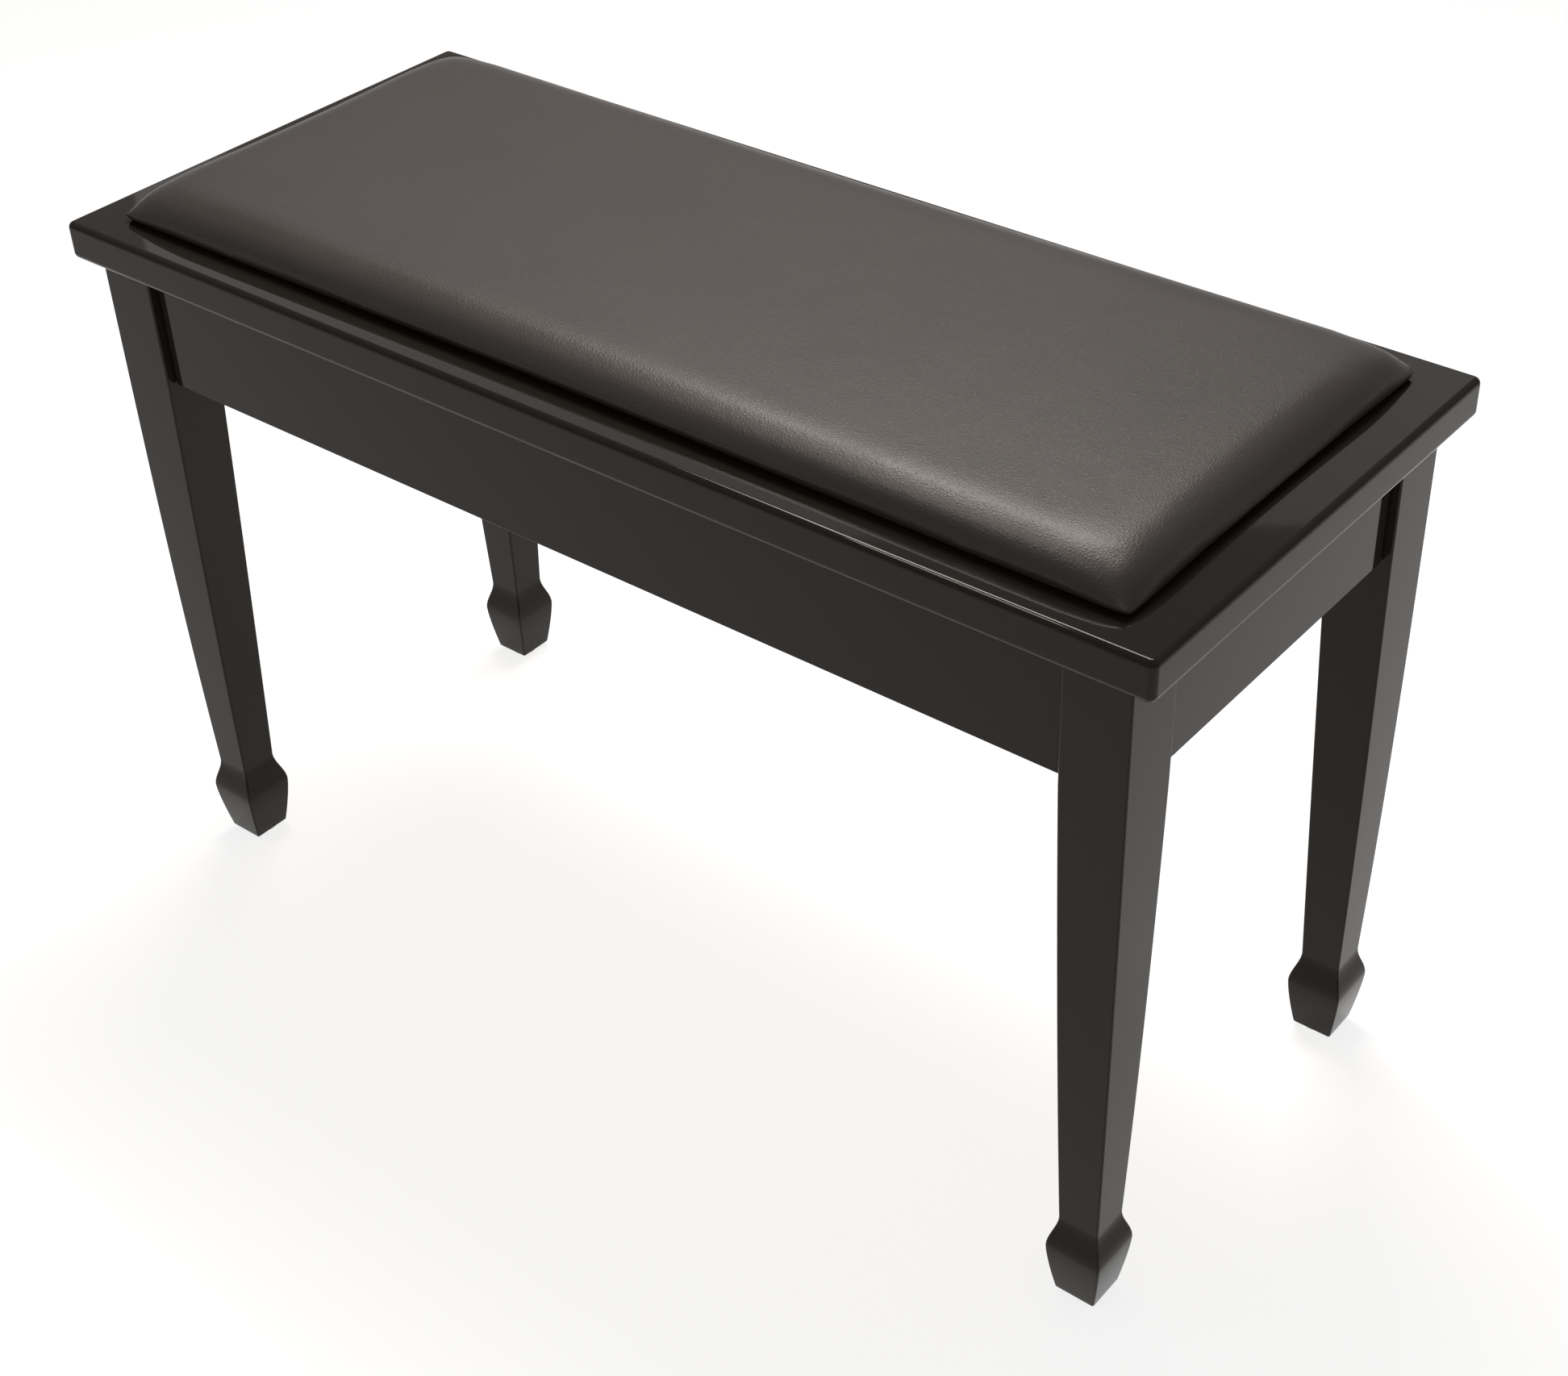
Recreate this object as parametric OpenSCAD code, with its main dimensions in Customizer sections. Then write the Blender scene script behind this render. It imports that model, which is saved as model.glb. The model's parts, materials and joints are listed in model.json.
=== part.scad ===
// Piano bench with a padded lid, a music compartment and four tapered legs.
// Millimetres. Origin on the floor under the centre of the bench, +Z up,
// +X along the length; the lid is hinged at the +Y edge and opens from the -Y side.

/* [Lid board] */
// Length of the lid
lid_l = 864; // [760:1:920]
// Depth of the lid, front to back
lid_d = 364; // [340:1:420]
// Thickness of the lid board
lid_t = 27; // [22:0.5:32]
// Height of the top face of the lid above the floor
lid_top = 527; // [460:1:560]
// Rounding of the upper edge
lid_top_r = 3; // [1:0.5:5]
// Rounding of the lower edge
lid_low_r = 6; // [2:0.5:9]
// Rounding of the corners seen from above
lid_corner_r = 4; // [1:0.5:10]
// How far the lid reaches past the legs at each end
over_end = 20; // [12:0.5:40]
// How far the lid reaches past the legs at the front and the back
over_side = 13; // [11:0.5:24]

/* [Seat pad] */
// Bare strip of lid at each end of the pad
pad_gap_end = 30; // [15:0.5:60]
// Bare strip of lid in front of and behind the pad
pad_gap_side = 23; // [12:0.5:50]
// Height of the crown of the pad above the lid
pad_h = 27; // [22:0.5:50]
// Height of the widest line of the pad's edge
pad_edge_h = 6; // [4:0.5:10]
// How far the edge tucks under below that line
pad_tuck = 4; // [1:0.5:8]
// Width of the sloping border around the flat top
pad_slope_w = 42; // [30:1:90]
// Thickness of the vinyl cover
cover_t = 1.2; // [0.8:0.1:2]
// Width of the cover turned in under the board
hem_w = 22; // [12:1:40]
// Thickness of the pad board
board_t = 6; // [4:0.5:9]
// Width of foam between the board's edge and the cover's edge line
board_in = 8; // [6:0.5:16]

/* [Legs] */
// Side of the square block at the top of a leg
leg_w = 45; // [40:0.5:60]
// How far the block reaches below the aprons
block_drop = 2.6; // [0:0.2:12]
// Height of the ankle
ankle_z = 69; // [50:0.5:110]
// Taper of the two outer faces from block to ankle
taper_out = 3.4; // [0:0.1:6]
// Taper of the two inner faces from block to ankle
taper_in = 12.2; // [6:0.1:16]
// Height of the widest line of the foot
foot_z = 43.5; // [30:0.5:48]
// Width of the foot at its widest line
foot_w = 40.6; // [34:0.2:50]
// Width of the foot at the bottom
foot_base_w = 29.6; // [22:0.2:34]
// Flat cut on the inner corner of the block, across each face
leg_flat = 8; // [4:0.5:12]

/* [Aprons] */
// Height of the aprons
apron_h = 83; // [76:0.5:120]
// Thickness of the aprons
apron_t = 18; // [14:0.5:22]
// How far the legs stand proud of the front and end aprons
leg_proud = 4; // [1:0.5:7]
// Gap between the lid and the top of aprons and legs
lid_gap = 1.5; // [1.2:0.1:3]

/* [Compartment floor] */
// Height of the cleats under the floor
cleat_h = 10; // [8:0.5:16]
// Width of the cleats
cleat_w = 12; // [8:0.5:20]
// How far the cleats sit above the lower edge of the aprons
cleat_up = 1.5; // [0:0.5:6]
// Thickness of the floor panel
floor_t = 4; // [3:0.5:8]
// Gap around the floor panel
floor_gap = 0.5; // [0.2:0.1:1.5]

/* [Corner blocks and leg bolts] */
// Space between the corner blocks and the stay rails above them
block_gap = 2.2; // [1:0.2:12]
// Thickness of a corner block along the bolt
block_t = 20; // [14:0.5:26]
// Diameter of the hanger bolts
bolt_d = 8; // [6:0.5:8]
// Depth of a hanger bolt in its leg
bolt_in = 30; // [20:1:34]
// Free end of a hanger bolt past its block
bolt_out = 16; // [13:0.5:20]
// Radial clearance of a bolt in its block
bolt_clear = 0.4; // [0.2:0.1:1]
// Diameter of the washers
washer_d = 20; // [16:0.5:24]
// Thickness of the washers
washer_t = 1.6; // [1:0.1:2.5]
// Height of the wing nuts
nut_h = 8; // [6:0.5:10]
// Diameter of the wing nuts' hub
nut_d = 13; // [11:0.5:16]
// Span of the wing nuts over the wings
wing_span = 30; // [24:1:34]

/* [Piano hinge] */
// Outer diameter of the hinge barrel
barrel_d = 4.6; // [4:0.1:6]
// Diameter of the hinge pin
pin_d = 2.2; // [1.8:0.1:2.6]
// Thickness of the hinge leaves
leaf_t = 0.9; // [0.7:0.1:1.1]
// Width of the leaf under the lid, from the pin
leaf_lid_w = 16; // [13:0.5:18]
// Width of the leaf on the rear apron, from the pin
leaf_apron_w = 15; // [12:0.5:24]
// Length of one knuckle
knuckle_l = 26; // [20:0.5:27]
// Gap between two knuckles
knuckle_gap = 0.3; // [0.2:0.1:0.6]
// Least distance from the ends of the hinge to the legs
hinge_end = 16; // [4:1:60]

/* [Lid stays] */
// Angle to which the stays let the lid open
open_angle = 75; // [60:1:76]
// Space between the front end of a stay rail and the front leg
rail_leg_gap = 5.8; // [5:0.2:25]
// Angle by which the stay rails fall away from the hinge pin
rail_angle = 5; // [4:0.25:6]
// Angle of the arm's pivot above the line of the rail
pivot_lead = 2.5; // [1.5:0.25:3]
// Width of a rail
rail_w = 14; // [12:0.5:16]
// Depth of a rail from the apron
rail_d = 6; // [5:0.25:8]
// Thickness of the rail's sheet
rail_t = 1.2; // [0.8:0.1:1.4]
// Diameter of the slider's shank and of the pivot rivet
stud_d = 4; // [3:0.25:5]
// Clearance of the slider on each side of its slot
slot_clear = 0.5; // [0.3:0.1:1]
// Length of rail past each end of the slot
rail_end = 4; // [3:0.5:5]
// Width of a stay arm
arm_w = 12; // [10:0.5:13]
// Thickness of a stay arm
arm_t = 2; // [1.5:0.25:3]
// Space between the arm and the rail
arm_gap = 1.4; // [1.2:0.1:2]

/* [Small parts] */
// Diameter of the glides under the feet
glide_d = 20; // [14:0.5:24]
// Thickness of the glides
glide_t = 3; // [2:0.5:6]
// Diameter of the felt buttons on the front legs
felt_d = 14; // [8:0.5:20]
// Diameter of the small wood screws
screw_d = 3; // [2.5:0.1:3.5]
// Head diameter of the small wood screws
screw_head_d = 5.8; // [5:0.1:7]
// Length of the small wood screws
screw_l = 13; // [10:0.5:14]
// Diameter of the pad screws
pad_screw_d = 4; // [3:0.1:5]
// Radial clearance of fasteners in their holes
hole_clear = 0.05; // [0.02:0.01:0.1]

/* [Hidden] */
$fn = 48;
eps = 0.01;
// Depth by which cuts run past a face, and wood left beyond a screw's point
cut = 1;
point_cover = 2;

// Heights
lid_low = lid_top - lid_t;
rail_top = lid_low - lid_gap;
apron_low = rail_top - apron_h;
block_low = apron_low - block_drop;
cleat_low = apron_low + cleat_up;
floor_low = cleat_low + cleat_h;
floor_top = floor_low + floor_t;

// Plan: outer faces of the legs, then inner faces of legs and aprons
leg_x = lid_l / 2 - over_end;
leg_y = lid_d / 2 - over_side;
leg_in_x = leg_x - leg_w;
leg_in_y = leg_y - leg_w;
end_out_x = leg_x - leg_proud;
end_in_x = end_out_x - apron_t;
front_out_y = leg_y - leg_proud;
front_in_y = front_out_y - apron_t;
rear_in_y = leg_y - apron_t;

// Hinge line: the barrel lies just behind the rear apron and just under the lid
barrel_gap = 0.2;
pin_y = leg_y + barrel_gap + barrel_d / 2;
pin_z = lid_low - barrel_gap - barrel_d / 2;
knuckle_n = 2 * floor((leg_in_x - hinge_end - knuckle_l / 2) / knuckle_l) + 1;
hinge_l = knuckle_n * knuckle_l;
hinge_screw_n = round(knuckle_n / 3);
hinge_screw_gap = hinge_l / hinge_screw_n;
leaf_screw_row = 0.62;

// Half sizes of the pad and heights inside it
pad_x = lid_l / 2 - pad_gap_end;
pad_y = lid_d / 2 - pad_gap_side;
foam_gap = 0.3;
board_low = lid_top + cover_t + foam_gap;
board_x = pad_x - board_in;
board_y = pad_y - board_in;
slope_steps = 12;

// Stay geometry. Pin, pivot and slider make a triangle with two equal sides, so
// the slider keeps to a straight line through the pin at every lid angle. The
// rails reach from the pin to the front legs, and the arms are cut to suit.
pivot_a = rail_angle - pivot_lead;
rail_out = (pin_y + leg_in_y - rail_leg_gap - rail_w / 2 * sin(rail_angle)) / cos(rail_angle);
slot_out = rail_out - rail_end;
slide_closed = slot_out - stud_d / 2 - slot_clear;
stay_r = slide_closed / (2 * cos(pivot_lead));
slide_open = 2 * stay_r * cos(open_angle + pivot_lead);
arm_a = 2 * rail_angle - pivot_a;
pivot_y = pin_y - stay_r * cos(pivot_a);
pivot_z = pin_z - stay_r * sin(pivot_a);
slot_in = slide_open - stud_d / 2 - slot_clear;
rail_in = slot_in - rail_end;
rail_x = end_in_x - rail_d;
rail_low = pin_z - rail_out * sin(rail_angle) - rail_w / 2 * cos(rail_angle);
block_h = rail_low - block_gap - floor_top;
bolt_z = floor_top + block_h / 2;
slider_head_side = 0.6;
slider_head_gap = 0.5;
slider_head_d = rail_w - 2 * (rail_t + slider_head_side);
arm_x = rail_x - arm_gap - arm_t;
run_gap = 0.3;
ear_t = 2;
ear_x = arm_x - run_gap - ear_t;
flange_l = 40;
flange_w = 18;
rivet_head_t = 1;
rivet_gap = 0.1;
rivet_head_d = 2 * stud_d;

// Points of an arc, from angle a to angle b
function arc(c, r, a, b, n) =
    [for (i = [0:n]) c + r * [cos(a + (b - a) * i / n), sin(a + (b - a) * i / n)]];

// Section of the lid across half-length h, with its two edge roundings
function lid_section(h) = concat(
    arc([h - lid_low_r, lid_low + lid_low_r], lid_low_r, -90, 0, 8),
    arc([h - lid_top_r, lid_top - lid_top_r], lid_top_r, 0, 90, 6),
    arc([-h + lid_top_r, lid_top - lid_top_r], lid_top_r, 90, 180, 6),
    arc([-h + lid_low_r, lid_low + lid_low_r], lid_low_r, 180, 270, 8));

// Half section of the pad: tucked-in foot, widest line, slope, flat top
function pad_edge(h, low, top, in) = concat(
    [[h - pad_tuck - in, low], [h - pad_tuck / 3 - in, low + (pad_edge_h - cover_t) * 0.4]],
    [for (i = [0:slope_steps]) let (a = 90 * i / slope_steps)
        [h - in - pad_slope_w * (1 - cos(a)),
         lid_top + pad_edge_h + (top - lid_top - pad_edge_h) * sin(a)]]);
function flip(pts) = [for (i = [len(pts) - 1:-1:0]) [-pts[i][0], pts[i][1]]];
function pad_section(h, low, top, in) =
    concat(pad_edge(h, low, top, in), flip(pad_edge(h, low, top, in)));

// Faces of a leg, measured inwards from the outer face of its block
taper_n = 14;
flare_n = 8;
toe_n = 8;
ankle_mid = (taper_out + leg_w - taper_in) / 2;
ankle_half = (leg_w - taper_in - taper_out) / 2;
function taper_out_at(t) = taper_out * pow(t, 2.5);
function taper_in_at(t) = taper_in * pow(t, 1.06);
function flare_at(s) = ankle_half + (foot_w / 2 - ankle_half) * (1 - cos(180 * s)) / 2;
function toe_at(s) = foot_base_w / 2 + (foot_w - foot_base_w) / 2 * (1 - pow(s, 1.35));
function leg_outer() = concat(
    [[0, rail_top]],
    [for (i = [0:taper_n]) [taper_out_at(i / taper_n), mix(block_low, ankle_z, i / taper_n)]],
    [for (i = [1:flare_n]) [ankle_mid - flare_at(i / flare_n), mix(ankle_z, foot_z, i / flare_n)]],
    [for (i = [1:toe_n]) [ankle_mid - toe_at(i / toe_n), mix(foot_z, glide_t, i / toe_n)]]);
function leg_inner() = concat(
    [for (i = [toe_n:-1:1]) [ankle_mid + toe_at(i / toe_n), mix(foot_z, glide_t, i / toe_n)]],
    [for (i = [flare_n:-1:1]) [ankle_mid + flare_at(i / flare_n), mix(ankle_z, foot_z, i / flare_n)]],
    [for (i = [taper_n:-1:0])
        [leg_w - taper_in_at(i / taper_n), mix(block_low, ankle_z, i / taper_n)]],
    [[leg_w, rail_top]]);
function mix(a, b, t) = a + (b - a) * t;

// Children built for the front-left corner, carried to corner sx, sy
module at_corner(sx, sy) {
    $depth_y = (sy < 0 ? front_in_y : rear_in_y) - leg_in_y;
    mirror([sx > 0 ? 1 : 0, 0, 0])
        mirror([0, sy > 0 ? 1 : 0, 0])
            children();
}
module each_corner() {
    for (sx = [-1, 1], sy = [-1, 1])
        at_corner(sx, sy) children();
}
// Corner depth along x; at_corner sets $depth_y, which is deeper at the back
depth_x = end_in_x - leg_in_x;

// Wood screw with a countersunk head, head face at the origin, point along +Z
module screw(d, head_d, l, c = 0) {
    drop = (head_d - d) / 2;
    cylinder(h = drop, r1 = head_d / 2 + c, r2 = d / 2 + c);
    cylinder(h = l + c, r = d / 2 + c);
}
module small_screw(c = 0) {
    screw(screw_d, screw_head_d, screw_l, c);
}

// ---------------------------------------------------------------- lid
module lid_screw_places() {
    for (x = [-1, 0, 1], y = [-1, 1])
        translate([x * board_x * 0.75, y * board_y * 0.7, lid_low + pad_screw_sink])
            children();
}
pad_screw_sink = 3;
pad_screw_head = 8;
pad_screw_l = lid_t - pad_screw_sink + cover_t + foam_gap + board_t - point_cover;
module hinge_lid_screw_places() {
    for (i = [0:hinge_screw_n - 1])
        translate([(i - (hinge_screw_n - 1) / 2) * hinge_screw_gap,
                   pin_y - leaf_lid_w * leaf_screw_row, lid_low - leaf_t])
            children();
}
module bracket_screw_places() {
    for (sx = [-1, 1], y = [-1, 1])
        translate([sx * (ear_x - flange_w * 0.55),
                   pivot_y + y * flange_l * 0.3, lid_low - ear_t])
            children();
}
module lid_panel() {
    color("#2d2b28")
    difference() {
        intersection() {
            translate([0, lid_d / 2, 0]) rotate([90, 0, 0])
                linear_extrude(lid_d) polygon(lid_section(lid_l / 2));
            translate([-lid_l / 2, 0, 0]) rotate([90, 0, 90])
                linear_extrude(lid_l) polygon(lid_section(lid_d / 2));
            translate([0, 0, lid_low]) linear_extrude(lid_t) polygon(plan_outline());
        }
        lid_screw_places() {
            screw(pad_screw_d, pad_screw_head, lid_t, hole_clear);
            translate([0, 0, -pad_screw_sink - eps])
                cylinder(h = pad_screw_sink + eps, r = pad_screw_head / 2 + hole_clear);
        }
        hinge_lid_screw_places() small_screw(hole_clear);
        bracket_screw_places() small_screw(hole_clear);
    }
}
function plan_outline() =
    let (x = lid_l / 2 - lid_corner_r, y = lid_d / 2 - lid_corner_r) concat(
    arc([x, -y], lid_corner_r, -90, 0, 6),
    arc([x, y], lid_corner_r, 0, 90, 6),
    arc([-x, y], lid_corner_r, 90, 180, 6),
    arc([-x, -y], lid_corner_r, 180, 270, 6));

// ---------------------------------------------------------------- seat pad
// Pillow with mitred corners: two sections crossing at right angles
module pillow(low, top, in) {
    intersection() {
        translate([0, lid_d / 2, 0]) rotate([90, 0, 0])
            linear_extrude(lid_d) polygon(pad_section(pad_x, low, top, in));
        translate([-lid_l / 2, 0, 0]) rotate([90, 0, 90])
            linear_extrude(lid_l) polygon(pad_section(pad_y, low, top, in));
    }
}
module slab(x, y, low, high) {
    translate([-x, -y, low]) cube([2 * x, 2 * y, high - low]);
}
module pad_board() {
    color("tan")
    difference() {
        slab(board_x, board_y, board_low, board_low + board_t);
        lid_screw_places() screw(pad_screw_d, pad_screw_head, pad_screw_l, hole_clear);
    }
}
module seat_foam() {
    foam_in = cover_t + foam_gap;
    color("#e8dfb8")
    difference() {
        pillow(board_low, lid_top + pad_h - foam_in, foam_in);
        slab(board_x + foam_gap, board_y + foam_gap, board_low - cut, board_low + board_t + foam_gap);
    }
}
module seat_cover() {
    color("#1b1a19")
    difference() {
        pillow(lid_top, lid_top + pad_h, 0);
        pillow(lid_top + cover_t, lid_top + pad_h - cover_t, cover_t);
        slab(pad_x - pad_tuck - hem_w, pad_y - pad_tuck - hem_w, lid_top - cut, lid_top + 2 * cover_t);
    }
}
module pad_screws() {
    color("silver")
        lid_screw_places() screw(pad_screw_d, pad_screw_head, pad_screw_l);
}

// ---------------------------------------------------------------- aprons
module long_apron(y_low) {
    difference() {
        translate([-leg_in_x, y_low, apron_low]) cube([2 * leg_in_x, apron_t, apron_h]);
        each_corner() block_screw_places() block_screw(hole_clear);
    }
}
module end_apron() {
    difference() {
        translate([end_in_x, -leg_in_y, apron_low]) cube([apron_t, 2 * leg_in_y, apron_h]);
        each_corner() block_screw_places() block_screw(hole_clear);
        rail_screw_places() rail_screw(hole_clear);
    }
}
module apron_front() { color("#2d2b28") long_apron(-front_out_y); }
module apron_rear() {
    color("#2d2b28")
    difference() {
        long_apron(rear_in_y);
        hinge_apron_screw_places() small_screw(hole_clear);
    }
}
module apron_left() { color("#2d2b28") mirror([1, 0, 0]) end_apron(); }
module apron_right() { color("#2d2b28") end_apron(); }

// ---------------------------------------------------------------- legs
module leg() {
    outline = concat(leg_outer(), leg_inner());
    color("#2d2b28")
    difference() {
        intersection() {
            translate([-leg_x, -leg_y + lid_d, 0]) rotate([90, 0, 0])
                linear_extrude(2 * lid_d) polygon(outline);
            translate([-leg_x - lid_d, -leg_y, 0]) rotate([90, 0, 90])
                linear_extrude(2 * lid_d) polygon(outline);
        }
        // Flat for the corner block, and the hole for the hanger bolt
        translate([-leg_in_x, -leg_in_y, apron_low])
            rotate([0, 0, 45])
                translate([-leg_flat / sqrt(2), -leg_w, 0]) cube([leg_w, 2 * leg_w, apron_h + cut]);
        leg_bolt() cylinder(h = bolt_in + eps, r = bolt_d / 2 + hole_clear);
        glide_place() glide_nail(hole_clear);
    }
}
// Start of the bolt on the leg's flat, +Z into the leg
module leg_bolt() {
    translate([-leg_in_x - leg_flat / 2, -leg_in_y - leg_flat / 2, bolt_z])
        rotate([0, -90, 45]) children();
}
module leg_front_left() { at_corner(-1, -1) leg(); }
module leg_front_right() { at_corner(1, -1) leg(); }
module leg_rear_left() { at_corner(-1, 1) leg(); }
module leg_rear_right() { at_corner(1, 1) leg(); }

// ---------------------------------------------------------------- corner blocks
block_span = block_t * sqrt(2);
block_screw_back = 10;
block_screw_side = 0.35;
head_clear = 0.5;
block_screw_l = 22;
module block_screw(c = 0) {
    screw(screw_d, screw_head_d, block_screw_l, c);
}
// One screw into the end apron and one into the long apron, +Z into the apron
module block_screw_places() {
    for (k = [0, 1]) {
        depth = k == 0 ? $depth_y : depth_x;
        translate([-leg_in_x, -leg_in_y, bolt_z])
            mirror([k, -k, 0])
                translate([depth - leg_flat + block_span * block_screw_side, block_screw_back - depth, 0])
                    rotate([90, 0, 0]) children();
    }
}
module corner_block() {
    color("peru")
    difference() {
        translate([-leg_in_x, -leg_in_y, floor_top])
            linear_extrude(block_h)
                polygon([
                    [$depth_y - leg_flat, -$depth_y],
                    [$depth_y - leg_flat + block_span, -$depth_y],
                    [-depth_x, depth_x - leg_flat + block_span],
                    [-depth_x, depth_x - leg_flat]]);
        leg_bolt()
            translate([0, 0, -block_t - cut]) cylinder(h = block_t + 2 * cut, r = bolt_d / 2 + bolt_clear);
        block_screw_places() {
            block_screw(hole_clear);
            translate([0, 0, -block_t]) cylinder(h = block_t + eps, r = screw_head_d / 2 + head_clear);
        }
    }
}
module corner_block_front_left() { at_corner(-1, -1) corner_block(); }
module corner_block_front_right() { at_corner(1, -1) corner_block(); }
module corner_block_rear_left() { at_corner(-1, 1) corner_block(); }
module corner_block_rear_right() { at_corner(1, 1) corner_block(); }
module corner_block_screws() {
    color("silver") each_corner() block_screw_places() block_screw();
}
module hanger_bolts() {
    color("silver")
        each_corner() leg_bolt()
            translate([0, 0, -block_t - bolt_out])
                cylinder(h = bolt_in + block_t + bolt_out, r = bolt_d / 2);
}
module bolt_washers() {
    color("silver")
        each_corner() leg_bolt()
            translate([0, 0, -block_t - washer_t])
                difference() {
                    cylinder(h = washer_t, r = washer_d / 2);
                    translate([0, 0, -cut]) cylinder(h = washer_t + 2 * cut, r = bolt_d / 2 + bolt_clear);
                }
}
wing_t = 3;
wing_h = 0.9 * nut_h;
module wing_nuts() {
    color("silver")
        each_corner() leg_bolt()
            translate([0, 0, -block_t - washer_t - nut_h])
                difference() {
                    union() {
                        cylinder(h = nut_h, r = nut_d / 2);
                        translate([-wing_t / 2, -wing_span / 2, 0]) cube([wing_t, wing_span, wing_h]);
                    }
                    translate([0, 0, -cut]) cylinder(h = nut_h + 2 * cut, r = bolt_d / 2 + hole_clear);
                }
}

// ---------------------------------------------------------------- compartment floor
cleat_clear = 0.2;
floor_screw_n = 5;
floor_screw_l = floor_t + cleat_h - point_cover;
module floor_screw(c = 0) {
    mirror([0, 0, 1]) screw(screw_d, screw_head_d, floor_screw_l, c);
}
module floor_screw_places() {
    for (i = [0:floor_screw_n - 1], y = [-front_in_y + cleat_w / 2, rear_in_y - cleat_w / 2])
        translate([(i / (floor_screw_n - 1) - 0.5) * 1.6 * leg_in_x, y, floor_top]) children();
}
module long_cleat(y_low) {
    color("burlywood")
    difference() {
        translate([-leg_in_x + cleat_clear, y_low, cleat_low])
            cube([2 * (leg_in_x - cleat_clear), cleat_w, cleat_h]);
        floor_screw_places() floor_screw(hole_clear);
    }
}
module end_cleat() {
    color("burlywood")
        translate([end_in_x - cleat_w, -leg_in_y + cleat_clear, cleat_low])
            cube([cleat_w, 2 * (leg_in_y - cleat_clear), cleat_h]);
}
module cleat_front() { long_cleat(-front_in_y); }
module cleat_rear() { long_cleat(rear_in_y - cleat_w); }
module cleat_left() { mirror([1, 0, 0]) end_cleat(); }
module cleat_right() { end_cleat(); }
module floor_panel() {
    x = end_in_x - floor_gap;
    notch = leg_w + cut;
    color("#3a2f26")
    difference() {
        translate([-x, -front_in_y + floor_gap, floor_low])
            cube([2 * x, front_in_y + rear_in_y - 2 * floor_gap, floor_t]);
        for (sx = [-1, 1], sy = [-1, 1])
            translate([sx * (leg_in_x - floor_gap + notch / 2), sy * (leg_in_y - floor_gap + notch / 2),
                       floor_low + floor_t / 2])
                cube([notch, notch, floor_t + cut], center = true);
        floor_screw_places() floor_screw(hole_clear);
    }
}
module floor_screws() {
    color("silver") floor_screw_places() floor_screw();
}

// ---------------------------------------------------------------- piano hinge
module hinge_apron_screw_places() {
    for (i = [0:hinge_screw_n - 1])
        translate([(i - (hinge_screw_n - 1) / 2) * hinge_screw_gap,
                   leg_y + leaf_t, pin_z - leaf_apron_w * leaf_screw_row])
            rotate([90, 0, 0]) children();
}
// Knuckles number first, first + 2, ... with the strip that joins each to its leaf
module knuckles(first, strip) {
    for (i = [first:2:knuckle_n - 1])
        translate([-hinge_l / 2 + i * knuckle_l + knuckle_gap / 2, pin_y, pin_z]) {
            rotate([0, 90, 0]) cylinder(h = knuckle_l - knuckle_gap, r = barrel_d / 2);
            translate([0, strip[0], strip[1]])
                cube([knuckle_l - knuckle_gap, strip[2], strip[3]]);
        }
}
module pin_bore() {
    translate([-hinge_l / 2 - cut, pin_y, pin_z])
        rotate([0, 90, 0]) cylinder(h = hinge_l + 2 * cut, r = pin_d / 2 + hole_clear);
}
leaf_edge = barrel_d / 2 + knuckle_gap;
module hinge_leaf_lid() {
    color("goldenrod")
    difference() {
        union() {
            translate([-hinge_l / 2, pin_y - leaf_lid_w, lid_low - leaf_t])
                cube([hinge_l, leaf_lid_w - leaf_edge, leaf_t]);
            knuckles(1, [-leaf_edge, lid_low - leaf_t - pin_z, leaf_edge, leaf_t]);
        }
        pin_bore();
        hinge_lid_screw_places() small_screw(hole_clear);
    }
}
module hinge_leaf_apron() {
    color("goldenrod")
    difference() {
        union() {
            translate([-hinge_l / 2, leg_y, pin_z - leaf_apron_w])
                cube([hinge_l, leaf_t, leaf_apron_w - leaf_edge]);
            knuckles(0, [leg_y - pin_y, -leaf_edge, leaf_t, leaf_edge]);
        }
        pin_bore();
        hinge_apron_screw_places() small_screw(hole_clear);
    }
}
module hinge_pin() {
    color("goldenrod")
        translate([-hinge_l / 2, pin_y, pin_z])
            rotate([0, 90, 0]) cylinder(h = hinge_l, r = pin_d / 2);
}
module hinge_screws_lid() {
    color("goldenrod") hinge_lid_screw_places() small_screw();
}
module hinge_screws_apron() {
    color("goldenrod") hinge_apron_screw_places() small_screw();
}

// ---------------------------------------------------------------- lid stays
// Right-hand parts; the left ones are mirrored. along(a) turns the frame at the
// hinge pin so that -Y points forward and down at angle a.
module along(a) {
    translate([0, pin_y, pin_z]) rotate([a, 0, 0]) children();
}
module at_pivot() {
    along(pivot_a) translate([0, -stay_r, 0]) rotate([arm_a - pivot_a, 0, 0]) children();
}
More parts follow.
